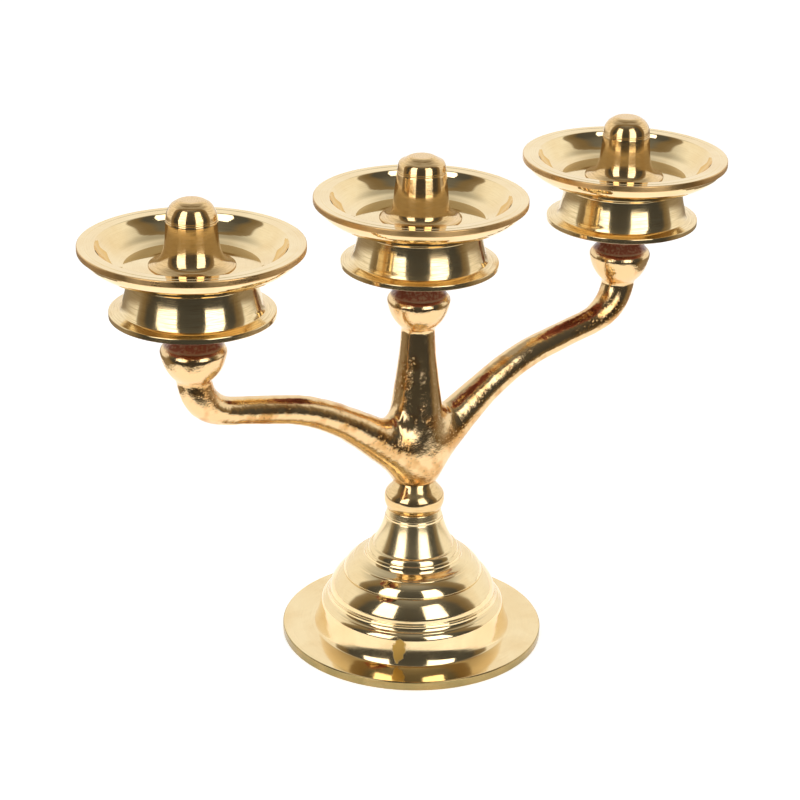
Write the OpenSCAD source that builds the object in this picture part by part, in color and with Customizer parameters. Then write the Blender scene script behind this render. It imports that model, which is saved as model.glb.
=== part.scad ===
// Three-light table candelabra in brass: a hollow turned foot, a turned knop, a branch cast in
// one piece, and on each of its three heads a spool, a pan and a bell-shaped nut.
// The arms run along X and Z is up. The origin is the centre of the foot's resting face.
// Each stack is held by a stud: one up through the foot and knop, and one out of each head.

/* [Foot] */
// Diameter over the brim
foot_d = 114.4; // [108:0.2:140]
// Height of the foot's top face
foot_h = 60; // [56:1:72]
// Thickness of the turned wall
foot_wall = 3; // [2.4:0.1:3.6]
// Width of the flat brim
brim_w = 15.2; // [12:0.2:18]
// Thickness of the brim
brim_t = 4; // [3:0.2:5]
// Height of the plinth wall above the brim
plinth_h = 12.5; // [10:0.5:15]
// How far the plinth wall leans in over its height
plinth_draft = 1; // [0.5:0.1:2]
// Width of the ledge on top of the plinth
ledge_w = 4.6; // [3:0.2:6]
// Rise of the ledge up to the bulge
ledge_rise = 4; // [3:0.2:5]
// Height of the bulge above the ledge
bulge_h = 9.1; // [8:0.1:11]
// How far the bulge draws in over its height
bulge_in = 6.2; // [5:0.1:7]
// Height of the band above the bulge
band_h = 6.1; // [5:0.1:7]
// How far the band draws in over its height
band_in = 4.4; // [3.5:0.1:5]
// Width of the nearly flat annulus above the band
annulus_w = 4.4; // [3.5:0.1:6]
// Rise of the annulus
annulus_rise = 1.6; // [1:0.1:2]
// Height of the pair of beads at the foot of the neck
bead_h = 6.2; // [5:0.1:7]
// How far the beads draw in
bead_in = 3.8; // [3:0.1:4]
// Radius of the neck's top face
neck_r = 11.6; // [11:0.1:13]
// Height of the two turned rings below the neck's top face
neck_ring_h = 4; // [3:0.1:5]
// Depth and half width of an incised line
line_cut = 0.3; // [0.2:0.05:0.4]

/* [Knop] */
// Height of the knop
knop_h = 13.5; // [11:0.5:17]
// Widest radius of the knop
knop_r = 13.1; // [12:0.1:15]
// Radius of the waist where the knop meets the branch
waist_r = 8.3; // [8:0.1:9]

/* [Branch] */
// Distance from the centre line to each outer head
arm_reach = 110; // [98:1:135]
// Height of the ball centres above the knop
ball_rise = 83; // [76:1:100]
// Radius of the balls
ball_r = 13.5; // [12.5:0.1:15]
// Height of the balls' shoulder above their centres
shoulder_rise = 3.2; // [2.5:0.1:4]
// Radius of the necks below the balls
ball_neck_r = 7.2; // [6.5:0.1:8]
// Radius of the spigots above the balls
spigot_r = 8; // [7:0.1:9]
// Height of the spigots' seats above the ball centres
seat_rise = 31.5; // [28:0.5:36]
// Widest radius of the column near its foot
belly_r = 12.2; // [11.6:0.1:14]
// Height of that widest place above the knop
belly_rise = 14; // [12:0.5:18]
// Radius of an arm where it leaves the column
arm_root_r = 9.2; // [8:0.1:9.8]
// Radius of an arm at the middle of its span
arm_mid_r = 6; // [5:0.1:7]
// Height of an arm's mid span above the knop
arm_mid_rise = 47.6; // [44:0.5:52]
// Height of an arm's elbow above the knop
elbow_rise = 53; // [50:0.5:57]

/* [Heads] */
// Height of the spools
spool_h = 18.5; // [15:0.5:24]
// Radius of the spools' foot flange
flange_r = 33.3; // [31:0.1:37]
// Height of the flange's edge
flange_t = 2.2; // [1.6:0.1:3]
// Radius of the spools' waist
spool_r = 26; // [24:0.1:28]
// Thickness of the spools' wall and roof
spool_wall = 2.5; // [2:0.1:3]
// Diameter of the pans
pan_d = 90; // [84:1:110]
// Depth of the pans from rim to floor
pan_depth = 9.3; // [8:0.1:12]
// Radius of the pans' flat floor
pan_floor_r = 28; // [27:0.5:30]
// Width of the pans' flat lip
lip_w = 7; // [6:0.2:8]
// Height of the pans' rim edge
rim_t = 2.8; // [2:0.1:3.4]
// Thickness of the pans' floor
pan_floor_t = 2.2; // [1.8:0.1:2.8]
// Height of the bell nuts
bell_h = 26.8; // [25:0.2:34]
// Radius of the bell nuts' foot
bell_foot_r = 17.3; // [16:0.1:19]
// Radius of the bell nuts' body
bell_r = 10.3; // [9.5:0.1:12]

/* [Fasteners] */
// Diameter of the stud in the foot
foot_stud_d = 8; // [7:0.5:9]
// Diameter of the studs in the heads
head_stud_d = 6; // [5:0.5:7]
// Radial room round a stud where it only passes through
pass_room = 0.5; // [0.4:0.05:0.8]
// Radial room where a thread is stood for by a plain running fit
thread_room = 0.05; // [0.02:0.01:0.09]
// How far a tapped hole bites into its own stud, in radius
thread_bite = 0.1; // [0.05:0.05:0.2]
// Width across the flats of the nut under the foot
nut_af = 13; // [12:0.5:14]
// Thickness of the nut
nut_t = 6.5; // [5:0.5:8]
// Diameter of the washer
washer_d = 16; // [15:0.5:18]
// Thickness of the washer
washer_t = 1.6; // [1:0.1:2.5]

/* [Hidden] */
$fn = 96;

LEFT = -1;
MIDDLE = 0;
RIGHT = 1;
CURVE_STEPS = 8;
edge_round = 0.6;
foot_stud_r = foot_stud_d / 2;
head_stud_r = head_stud_d / 2;

// Pocket under the neck for the washer and nut: its roof's thickness and the room round them
pocket_roof_t = 10;
pocket_room = 2.4;
pocket_r = washer_d / 2 + pocket_room;

// Levels along the centre line
pocket_roof_z = foot_h - pocket_roof_t;
branch_z = foot_h + knop_h;
ball_z = branch_z + ball_rise;
seat_z = ball_z + seat_rise;
spool_top_z = seat_z + spool_wall;
spool_z = spool_top_z - spool_h;
pan_floor_z = spool_top_z + pan_floor_t;
rim_z = pan_floor_z + pan_depth;

// Depths of the blind holes for the studs, the room left at their ends, the length of the foot
// stud below its nut, and the bevel on every stud's ends
foot_thread = 18;
head_thread = 20;
bell_thread = 17;
bore_end_room = 1.5;
stud_tail = 1.5;
stud_chamfer = 0.8;

// Steps of the foot, each drawn in from the one below it
foot_r = foot_d / 2;
plinth_r = foot_r - brim_w;
plinth_z = brim_t + plinth_h;
bulge_r = plinth_r - plinth_draft - ledge_w;
bulge_z = plinth_z + ledge_rise;
band_r = bulge_r - bulge_in;
band_z = bulge_z + bulge_h;
annulus_r = band_r - band_in;
annulus_z = band_z + band_h;
bead_r = annulus_r - annulus_w;
bead_z = annulus_z + annulus_rise;
cone_r = bead_r - bead_in;
cone_z = bead_z + bead_h;
neck_ring_out = 1;
neck_ring_z = foot_h - neck_ring_h;
neck_ring_r = neck_r + neck_ring_out;

// Points of a quadratic curve from a to c, pulled towards b, without its first point
function curve3(a, b, c) =
    [for (i = [1:CURVE_STEPS]) let (t = i / CURVE_STEPS)
        a * pow(1 - t, 2) + 2 * b * t * (1 - t) + c * t * t];

// Points of a cubic curve from a to d, pulled towards b and then c, with the given first step
function curve4(a, b, c, d, steps, first) =
    [for (i = [first:steps]) let (t = i / steps)
        a * pow(1 - t, 3) + 3 * b * t * pow(1 - t, 2) + 3 * c * t * t * (1 - t) + d * pow(t, 3)];

// Points of a small incised line round a turned face at radius r and height z
function incised(r, z) =
    [[r, z - line_cut], [r - line_cut, z], [r, z + line_cut]];

module turned(outline) {
    rotate_extrude() polygon(outline);
}

module bore(r, from_z, to_z) {
    translate([0, 0, from_z]) cylinder(r = r, h = to_z - from_z);
}

// Outer outline of the foot from the brim's edge up to the neck's top face
function foot_outline() = concat(
    [[foot_r - edge_round, 0], [foot_r, edge_round], [foot_r, brim_t - edge_round],
     [foot_r - edge_round, brim_t], [plinth_r, brim_t]],
    curve3([plinth_r, brim_t], [plinth_r - plinth_draft, brim_t + plinth_h / 3],
           [plinth_r - plinth_draft, plinth_z]),
    curve3([plinth_r - plinth_draft, plinth_z],
           [bulge_r + ledge_w / 2, plinth_z + ledge_rise / 4], [bulge_r, bulge_z]),
    curve3([bulge_r, bulge_z], [bulge_r, bulge_z + bulge_h / 2],
           [band_r + line_cut, band_z - line_cut]),
    [[band_r - line_cut, band_z]],
    curve3([band_r, band_z + line_cut], [band_r - band_in / 6, band_z + band_h / 2],
           [annulus_r, annulus_z]),
    [[bead_r, bead_z], [bead_r, bead_z + bead_h / 3],
     [bead_r - bead_in / 3, bead_z + bead_h / 2],
     [bead_r - bead_in / 2, bead_z + bead_h * 3 / 4]],
    curve3([cone_r, cone_z], [neck_ring_r + neck_ring_out, (cone_z + neck_ring_z) / 2],
           [neck_ring_r, neck_ring_z]),
    incised(neck_ring_r - neck_ring_h / 8, neck_ring_z + neck_ring_h / 2),
    [[neck_r, foot_h]]);

// Hollow of the foot: the outer steps drawn in and down by the wall
function foot_hollow() = [
    [0, -1], [plinth_r - foot_wall, -1],
    [plinth_r - plinth_draft - foot_wall, plinth_z - foot_wall],
    [bulge_r - foot_wall, bulge_z - foot_wall],
    [band_r - foot_wall, band_z - foot_wall],
    [annulus_r - foot_wall, annulus_z - foot_wall],
    [bead_r - foot_wall, bead_z - foot_wall],
    [max(cone_r - foot_wall, pocket_r), cone_z - foot_wall],
    [pocket_r, cone_z],
    [pocket_r, pocket_roof_z], [0, pocket_roof_z]];

module foot() {
    color("#d9b45a") difference() {
        turned(concat([[0, 0]], foot_outline(), [[0, foot_h]]));
        turned(foot_hollow());
        bore(foot_stud_r + pass_room, 0, foot_h + 1);
    }
}

// Knop: a low rounded drum below, hollowing in to the waist above
drum_h = knop_h * 2 / 5;
module knop() {
    color("#d2a956") translate([0, 0, foot_h]) difference() {
        turned(concat(
            [[0, 0], [knop_r - edge_round, 0]],
            curve3([knop_r - edge_round, 0], [knop_r + edge_round, drum_h / 2],
                   [knop_r - edge_round, drum_h]),
            curve3([knop_r - edge_round, drum_h], [knop_r - 2 * edge_round, (drum_h + knop_h) / 2],
                   [waist_r, knop_h]),
            [[0, knop_h]]));
        bore(foot_stud_r + pass_room, -1, knop_h + 1);
    }
}

module stud(r, from_z, to_z) {
    turned([[0, from_z], [r - stud_chamfer, from_z], [r, from_z + stud_chamfer],
            [r, to_z - stud_chamfer], [r - stud_chamfer, to_z], [0, to_z]]);
}

// The washer hangs under the pocket's roof and the nut under the washer
nut_top_z = pocket_roof_z - washer_t;
nut_z = nut_top_z - nut_t;

module foot_stud() {
    color("#a8a59c") stud(foot_stud_r, nut_z - stud_tail, branch_z + foot_thread - bore_end_room);
}

module foot_washer() {
    color("#b3b0a8") difference() {
        bore(washer_d / 2, nut_top_z, pocket_roof_z);
        bore(foot_stud_r + pass_room, nut_top_z - 1, pocket_roof_z + 1);
    }
}

module foot_nut() {
    color("#9d9a92") difference() {
        translate([0, 0, nut_z]) cylinder(d = nut_af / cos(30), h = nut_t, $fn = 6);
        bore(foot_stud_r - thread_bite, nut_z - 1, nut_top_z + 1);
    }
}

// Arm path from inside the column to inside the ball, as [distance out, height above the knop]
arm_root = [4, 10.5];
arm_climb = [22, 17.6];
arm_mid = [arm_reach * 3 / 5, arm_mid_rise];
elbow_run = 18;
elbow_in = [arm_reach - elbow_run, elbow_rise];
elbow_out = [arm_reach - 0.5, ball_rise - ball_r + 1];
elbow_climb = [0.5, 9];
arm_end = [arm_reach, ball_rise - ball_r / 2];
mid_slope = (elbow_in - arm_mid) / 3;
function arm_path() = concat(
    curve4(arm_root, arm_root + arm_climb, arm_mid - mid_slope * 5 / 2, arm_mid, 12, 0),
    curve4(arm_mid, arm_mid + mid_slope, elbow_in - mid_slope, elbow_in, 5, 1),
    curve4(elbow_in, elbow_in + mid_slope, elbow_out - elbow_climb, elbow_out, 9, 1),
    [arm_end]);

// Radius of the arm at a distance out from the column: stout to a quarter of the way to its
// middle, then tapering, and swelling again round the elbow
function arm_r(out) = lookup(out, [
    [arm_root[0], arm_root_r],
    [arm_mid[0] / 4, arm_root_r],
    [arm_mid[0] / 2, (2 * arm_root_r + 3 * arm_mid_r) / 5],
    [arm_mid[0], arm_mid_r],
    [elbow_in[0], arm_mid_r],
    [(elbow_in[0] + elbow_out[0]) / 2, (arm_mid_r + ball_neck_r) / 2],
    [elbow_out[0], ball_neck_r]]);

ARM_SIDES = 20;

// One arm as rings of points square to its path, joined into a closed tube
module arm() {
    path = arm_path();
    last = len(path) - 1;
    rings = [for (i = [0:last]) let (
        ahead = path[min(i + 1, last)] - path[max(i - 1, 0)],
        along = ahead / norm(ahead),
        r = arm_r(path[i][0]))
        [for (k = [0:ARM_SIDES - 1]) let (a = 360 * k / ARM_SIDES)
            [path[i][0] - along[1] * r * cos(a), r * sin(a), path[i][1] + along[0] * r * cos(a)]]];
    points = [for (ring = rings) for (p = ring) p];
    sides = [for (i = [0:last - 1]) for (k = [0:ARM_SIDES - 1]) let (n = (k + 1) % ARM_SIDES)
        [i * ARM_SIDES + k, i * ARM_SIDES + n, (i + 1) * ARM_SIDES + n, (i + 1) * ARM_SIDES + k]];
    start_cap = [for (k = [ARM_SIDES - 1:-1:0]) k];
    end_cap = [for (k = [0:ARM_SIDES - 1]) last * ARM_SIDES + k];
    polyhedron(points, concat(sides, [start_cap, end_cap]));
}

// Ball with its shoulder and spigot, from the neck's radius at the bottom up to the seat
neck_angle = acos(ball_neck_r / ball_r);
shoulder_angle = asin(shoulder_rise / ball_r);
shoulder_r = ball_r * cos(shoulder_angle);
spigot_root = [1, 2.6];
spigot_root_h = 1;
BALL_STEPS = 12;
function ball_outline() = concat(
    [for (i = [0:BALL_STEPS]) let (
        a = -neck_angle + (neck_angle + shoulder_angle) * i / BALL_STEPS)
        [ball_r * cos(a), ball_r * sin(a)]],
    [[shoulder_r - edge_round, shoulder_rise + edge_round],
     [spigot_r, shoulder_rise] + spigot_root,
     [spigot_r, shoulder_rise + spigot_root[1] + spigot_root_h],
     [spigot_r, seat_rise]]);

// Column outline: out from the knop to the belly, then tapering up to the middle ball's neck
column_top = ball_rise - ball_r * sin(neck_angle);
belly_round = 0.7;
taper_start = 16;
taper_end = [1.4, -22];
function column_outline() = concat(
    curve4([waist_r, 0], [belly_r - belly_round, belly_rise / 5], [belly_r, belly_rise * 3 / 5],
           [belly_r, belly_rise], 6, 0),
    curve4([belly_r, belly_rise], [belly_r, belly_rise + taper_start],
           [ball_neck_r, column_top] + taper_end, [ball_neck_r, column_top], 9, 1));

module branch() {
    color("#c9a052") translate([0, 0, branch_z]) difference() {
        union() {
            turned(concat([[0, 0]], column_outline(), [[0, column_top]]));
            for (side = [LEFT, MIDDLE, RIGHT]) translate([side * arm_reach, 0, ball_rise])
                turned(concat([[0, -ball_r * sin(neck_angle)]], ball_outline(), [[0, seat_rise]]));
            arm();
            mirror([1, 0, 0]) arm();
        }
        bore(foot_stud_r + thread_room, -1, foot_thread);
        for (side = [LEFT, MIDDLE, RIGHT]) translate([side * arm_reach, 0, ball_rise])
            bore(head_stud_r - thread_bite, seat_rise - head_thread, seat_rise + 1);
    }
}

module head_stud(side) {
    color("#a8a59c") translate([side * arm_reach, 0, 0])
        stud(head_stud_r, seat_z - head_thread + bore_end_room,
             pan_floor_z + bell_thread - bore_end_room);
}

// Spool: an inverted cup with a foot flange and a low collar, seated on the spigot by its roof
wall_foot_r = spool_r + 2;
wall_foot_z = flange_t + 1.3;
collar_r = spool_r + 0.8;
collar_h = 1.5;
cup_r = spool_r - spool_wall;
cup_roof_z = spool_h - spool_wall;
cup_bevel = 2;
module spool(side) {
    color("#d6b45c") translate([side * arm_reach, 0, spool_z]) difference() {
        turned(concat(
            [[0, 0], [flange_r, 0], [flange_r, flange_t], [wall_foot_r, wall_foot_z]],
            curve3([wall_foot_r, wall_foot_z], [spool_r - edge_round, spool_h * 4 / 9],
                   [spool_r + line_cut, spool_h - collar_h - 1]),
            [[collar_r, spool_h - collar_h], [collar_r, spool_h], [0, spool_h]]));
        turned([[0, -1], [cup_r, -1], [cup_r, cup_roof_z - cup_bevel],
                [cup_r - cup_bevel, cup_roof_z], [0, cup_roof_z]]);
        bore(head_stud_r + pass_room, 0, spool_h + 1);
    }
}

// Pan: a dished plate with a flat lip, its underside rounding in to the spool
pan_r = pan_d / 2;
pan_foot_r = spool_r + 1;
lip_fall = 0.35;
lip_round = 0.4;
wall_top_r = pan_r - lip_w;
pan_height = pan_depth + pan_floor_t;
dish_hollow = [6.5, 1.2];
module pan(side) {
    color("#e2c06a") translate([side * arm_reach, 0, spool_top_z]) difference() {
        turned(concat(
            [[0, 0], [pan_foot_r, 0]],
            curve3([pan_foot_r, 0], [(pan_foot_r + pan_r) / 2, pan_depth / 5],
                   [pan_r - 1, pan_height - rim_t]),
            [[pan_r, pan_height - rim_t + lip_round], [pan_r, pan_height - lip_round],
             [pan_r - lip_round, pan_height]],
            [[wall_top_r + lip_round, pan_height - lip_fall]],
            curve3([wall_top_r, pan_height - lip_fall - lip_round],
                   [pan_floor_r, pan_floor_t] + dish_hollow, [pan_floor_r, pan_floor_t]),
            [[0, pan_floor_t]]));
        bore(head_stud_r + pass_room, -1, pan_height);
    }
}

// Bell nut: a flared foot, a plain body with a line round it, and a domed top
bell_edge = 0.5;
bell_flare = [2.4, 1.5];
bell_line_z = bell_h * 3 / 4;
bell_top_r = bell_r / 2;
module bell_nut(side) {
    color("#dcb65e") translate([side * arm_reach, 0, pan_floor_z]) difference() {
        turned(concat(
            [[0, 0], [bell_foot_r, 0], [bell_foot_r, bell_edge]],
            curve4([bell_foot_r, bell_edge], [bell_r, bell_edge] + bell_flare,
                   [bell_r, bell_h * 3 / 10], [bell_r, bell_line_z - 1], CURVE_STEPS, 1),
            incised(bell_r, bell_line_z),
            curve3([bell_r, bell_line_z + line_cut], [bell_r, bell_h - 2], [bell_top_r, bell_h]),
            [[0, bell_h]]));
        bore(head_stud_r + thread_room, -1, bell_thread);
    }
}

foot();
knop();
foot_stud();
foot_washer();
foot_nut();
branch();
head_stud(LEFT);  // left_stud
head_stud(MIDDLE);  // middle_stud
head_stud(RIGHT);  // right_stud
spool(LEFT);  // left_spool
spool(MIDDLE);  // middle_spool
spool(RIGHT);  // right_spool
pan(LEFT);  // left_pan
pan(MIDDLE);  // middle_pan
pan(RIGHT);  // right_pan
bell_nut(LEFT);  // left_bell_nut
bell_nut(MIDDLE);  // middle_bell_nut
bell_nut(RIGHT);  // right_bell_nut
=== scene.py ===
"""Looks of a three-light table candelabra in turned and cast brass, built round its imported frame."""

import bpy
import numpy as np
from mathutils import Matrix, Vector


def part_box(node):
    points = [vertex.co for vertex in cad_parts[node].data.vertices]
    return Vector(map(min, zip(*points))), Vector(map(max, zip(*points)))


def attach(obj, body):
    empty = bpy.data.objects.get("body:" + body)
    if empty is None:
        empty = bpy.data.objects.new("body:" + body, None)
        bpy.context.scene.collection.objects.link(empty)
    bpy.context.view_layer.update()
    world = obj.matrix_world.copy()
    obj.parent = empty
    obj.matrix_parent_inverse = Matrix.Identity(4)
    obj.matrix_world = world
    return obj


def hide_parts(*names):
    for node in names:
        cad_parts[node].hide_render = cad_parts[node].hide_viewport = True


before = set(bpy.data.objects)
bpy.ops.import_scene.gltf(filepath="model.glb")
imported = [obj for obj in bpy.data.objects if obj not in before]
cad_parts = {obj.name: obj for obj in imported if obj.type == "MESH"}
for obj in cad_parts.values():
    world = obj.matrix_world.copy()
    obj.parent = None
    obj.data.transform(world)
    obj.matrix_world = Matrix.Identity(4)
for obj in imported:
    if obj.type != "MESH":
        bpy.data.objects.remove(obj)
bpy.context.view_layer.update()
mm = 0.001

# ---------------------------------------------------------------- camera
# A long lens a metre away, looking down on the pans, with the arms turned so that the left
# head comes forward. The slight roll takes up the lean of the piece on its table.
def put(name, data):
    """Adds an object of that name to the scene, which shows the mesh, lamp or camera in data."""
    made = bpy.data.objects.new(name, data)
    bpy.context.scene.collection.objects.link(made)
    return made


view_turn, view_tilt, view_roll = np.radians((35.448, 22.884, 1.156))
camera_stand = (-0.5615, -0.7765, 0.5145)
view_ahead = np.array([
    np.sin(view_turn) * np.cos(view_tilt), np.cos(view_turn) * np.cos(view_tilt), -np.sin(view_tilt)])
level_right = np.array([np.cos(view_turn), -np.sin(view_turn), 0.0])
level_up = np.cross(level_right, view_ahead)
view_right = level_right * np.cos(view_roll) + level_up * np.sin(view_roll)
view_up = level_up * np.cos(view_roll) - level_right * np.sin(view_roll)
camera_data = bpy.data.cameras.new("camera")
camera_data.lens = 108.96
camera_data.sensor_width = 36
camera = put("camera", camera_data)
camera_place = np.eye(4)
camera_place[:3, 0] = view_right
camera_place[:3, 1] = view_up
camera_place[:3, 2] = -view_ahead
camera_place[:3, 3] = camera_stand
camera.matrix_world = camera_place.T.tolist()
bpy.context.scene.camera = camera
bpy.context.scene.view_settings.view_transform = "Standard"


# ---------------------------------------------------------------- studio
# A white table and a white backdrop, two tall softboxes either side of the camera, and the
# unlit room behind it, which the polished brass shows as its dark bands.
def linear(hex_code):
    """The linear colour, with alpha 1, of an sRGB hex value."""
    shares = np.array([int(hex_code[i:i + 2], 16) / 255 for i in (1, 3, 5)])
    toe, curve = shares / 12.92, ((shares + 0.055) / 1.055) ** 2.4
    return (*np.where(shares <= 0.04045, toe, curve), 1.0)


def add(tree, kind, inputs, **settings):
    """Adds a node of that kind to the tree. Inputs are values or sockets to link, by name or number."""
    made = tree.nodes.new(kind)
    for name, value in settings.items():
        setattr(made, name, value)
    for key, value in inputs.items():
        if isinstance(value, bpy.types.NodeSocket):
            tree.links.new(value, made.inputs[key])
        else:
            made.inputs[key].default_value = value
    return made


def shaded(name, sockets):
    """A new material of that name, with its node tree and its shader. The shader's own sockets
    take the values in sockets."""
    made = bpy.data.materials.new(name)
    made.use_nodes = True
    shader = made.node_tree.nodes["Principled BSDF"]
    for socket, value in sockets.items():
        shader.inputs[socket].default_value = value
    return made, made.node_tree, shader


def stage_piece(name, corners, faces, material):
    """A piece of the studio, not of the candelabra, from its corners and lists of corner numbers."""
    mesh = bpy.data.meshes.new(name)
    mesh.from_pydata(corners.tolist(), [], faces)
    mesh.materials.append(material)
    made = put(name, mesh)
    return made


def stage_plane(name, near, far, left, right, material):
    """A level rectangle at the table's height, from near to far along the view and left to right."""
    along = np.array([np.sin(view_turn), np.cos(view_turn), 0])
    corners = [along * near + level_right * left, along * near + level_right * right,
               along * far + level_right * right, along * far + level_right * left]
    return stage_piece(name, np.array(corners), [(0, 1, 2, 3)], material)


# Matt white board under strong, even light, which washes out all but the faintest shadow
table_white = shaded("matt_white_table", {
    "Base Color": linear("#f4f3f0"), "Roughness": 0.9, "Specular IOR Level": 0.1,
    "Emission Color": linear("#ffffff"), "Emission Strength": 0.62})[0]
# Only the white sweep behind and beside the piece shows in the brass; the rest of the floor doesn't
table_front, table_side, floor_edge = -0.19, 0.26, 6
stage_plane("table", table_front, floor_edge, -table_side, table_side, table_white)
for name, near, far, left, right in (
        ("floor_in_front", -floor_edge, table_front, -floor_edge, floor_edge),
        ("floor_left", table_front, floor_edge, -floor_edge, -table_side),
        ("floor_right", table_front, floor_edge, table_side, floor_edge)):
    stage_plane(name, near, far, left, right, table_white).visible_glossy = False

# Pale paper hangs all round, far off: it is only a background, and neither lights the piece nor
# shows in the brass
paper = shaded("pale_backdrop_paper", {
    "Base Color": linear("#000000"), "Specular IOR Level": 0.0,
    "Emission Color": linear("#f7f7f5"), "Emission Strength": 1.0})[0]
paper_turns = np.radians([45, 135, 225, 315])
paper_ring = floor_edge * np.sqrt(2) * np.column_stack(
    [np.cos(paper_turns), np.sin(paper_turns), 0 * paper_turns])
backdrop = stage_piece(
    "backdrop", np.vstack([paper_ring, paper_ring + (0, 0, floor_edge)]),
    [(i, (i + 1) % 4, (i + 1) % 4 + 4, i + 4) for i in range(4)], paper)
backdrop.visible_glossy = backdrop.visible_diffuse = backdrop.visible_shadow = False

# What the brass reflects: bright white behind the piece, and the dark room behind the camera
backdrop_white = (1.05, 1.05, 1.05, 1)
ceiling_grey = (0.45, 0.45, 0.44, 1)
screen_brown = (0.24, 0.18, 0.1, 1)
world = bpy.data.worlds.new("studio")
bpy.context.scene.world = world
world.use_nodes = True
sky = world.node_tree
sky.nodes.clear()
heading = add(sky, "ShaderNodeTexCoord", {}).outputs["Generated"]
towards_room = add(sky, "ShaderNodeVectorMath", {
    0: heading, 1: (-np.sin(view_turn), -np.cos(view_turn), 0)}, operation="DOT_PRODUCT").outputs["Value"]
in_room = add(sky, "ShaderNodeMapRange", {
    "Value": towards_room, "From Min": -0.12, "From Max": 0.16}, interpolation_type="SMOOTHSTEP").outputs[0]
rise = add(sky, "ShaderNodeSeparateXYZ", {0: heading}).outputs["Z"]
room = add(sky, "ShaderNodeValToRGB", {0: add(sky, "ShaderNodeMapRange", {
    "Value": rise, "From Min": -1.0, "From Max": 1.0}).outputs[0]})
room.color_ramp.elements[0].position, room.color_ramp.elements[1].position = 0.4, 1.0
room.color_ramp.elements[0].color = (0.062, 0.062, 0.06, 1)
room.color_ramp.elements[1].color = ceiling_grey
for rise_share, grey in ((0.56, 0.075), (0.7, 0.085), (0.85, 0.1), (0.93, 0.18)):
    room.color_ramp.elements.new(rise_share).color = (grey, grey, grey * 0.98, 1)
overhead = add(sky, "ShaderNodeMapRange", {
    "Value": rise, "From Min": 0.5, "From Max": 0.9}, interpolation_type="SMOOTHSTEP").outputs[0]
behind = add(sky, "ShaderNodeMix", {
    "Factor": overhead, 6: backdrop_white, 7: ceiling_grey}, data_type="RGBA").outputs[2]
around = add(sky, "ShaderNodeMix", {
    "Factor": in_room, 6: behind, 7: room.outputs[0]}, data_type="RGBA").outputs[2]
# Brown screens stand at both flanks, and the floor past the sweep's edges is brown as well
screens = add(sky, "ShaderNodeValToRGB", {0: add(sky, "ShaderNodeMapRange", {
    "Value": towards_room, "From Min": -1.0, "From Max": 1.0}).outputs[0]})
screens.color_ramp.elements[0].position, screens.color_ramp.elements[1].position = 0.455, 0.64
screens.color_ramp.elements[0].color = screens.color_ramp.elements[1].color = (0, 0, 0, 1)
for share in (0.48, 0.58):
    screens.color_ramp.elements.new(share).color = (0.85, 0.85, 0.85, 1)
below = add(sky, "ShaderNodeMapRange", {
    "Value": rise, "From Min": -0.05, "From Max": -0.2, "To Min": 0.0, "To Max": 0.9}).outputs[0]
off_front = add(sky, "ShaderNodeMapRange", {
    "Value": towards_room, "From Min": 0.1, "From Max": 0.4, "To Min": 1.0, "To Max": 0.0}).outputs[0]
brown_floor = add(sky, "ShaderNodeMath", {0: below, 1: off_front}, operation="MULTIPLY").outputs[0]
beside = add(sky, "ShaderNodeMath", {0: screens.outputs[0], 1: brown_floor}, operation="MAXIMUM").outputs[0]
screened = add(sky, "ShaderNodeMix", {
    "Factor": beside, 6: around, 7: screen_brown}, data_type="RGBA")
studio_light = add(sky, "ShaderNodeBackground", {"Color": screened.outputs[2]})
add(sky, "ShaderNodeOutputWorld", {"Surface": studio_light.outputs[0]})


def softbox(name, azimuth, width, low=0.12, high=1.2, distance=0.9, radiance=2.6):
    """An upright rectangular lamp that faces the piece, at that azimuth as seen from the camera."""
    turn = np.radians(azimuth) - view_turn
    back = np.array([np.sin(turn), -np.cos(turn), 0])
    data = bpy.data.lights.new(name, "AREA")
    data.shape = "RECTANGLE"
    data.size, data.size_y = width, high - low
    data.energy = radiance * width * (high - low) * np.pi
    lamp = put(name, data)
    place = np.eye(4)
    place[:3, 0], place[:3, 1], place[:3, 2] = (np.cos(turn), np.sin(turn), 0), (0, 0, 1), back
    place[:3, 3] = back * distance + (0, 0, (low + high) / 2)
    lamp.matrix_world = place.T.tolist()
    lamp.visible_camera = False


softbox("softbox_left", -39, 0.47)
softbox("softbox_right", 34, 0.5)

# ---------------------------------------------------------------- foot
# One hollow brass casting, turned outside into a brim, a plinth, a bulge, a band, two beads
# and a hollow-sided neck, then buffed. Its stud, washer and nut sit up inside it.
foot_high = np.array(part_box("foot")[1]) / mm


def through(points, step=0.7):
    """A smooth curve through the points: a free-ended cubic spline in each coordinate over the
    distance along the points, read off about every step mm."""
    p = np.array(points, float)
    s = np.r_[0, np.cumsum(np.hypot(*np.diff(p, axis=0).T))]
    h = np.diff(s)
    n = len(p)
    pull = np.eye(n)
    rows = np.arange(1, n - 1)
    pull[rows, rows - 1], pull[rows, rows], pull[rows, rows + 1] = h[:-1], 2 * (h[:-1] + h[1:]), h[1:]
    slopes = np.diff(p, axis=0) / h[:, None]
    bend = np.zeros_like(p)
    bend[1:-1] = 6 * np.diff(slopes, axis=0)
    curving = np.linalg.solve(pull, bend)
    t = np.linspace(0, s[-1], max(3, int(np.ceil(s[-1] / step)) + 1))
    k = np.clip(np.searchsorted(s, t, side="right") - 1, 0, n - 2)
    a, b, width = (s[k + 1] - t)[:, None], (t - s[k])[:, None], h[k][:, None]
    return (curving[k] * a ** 3 + curving[k + 1] * b ** 3) / (6 * width) + (
        p[k] / width - curving[k] * width / 6) * a + (p[k + 1] / width - curving[k + 1] * width / 6) * b


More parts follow.
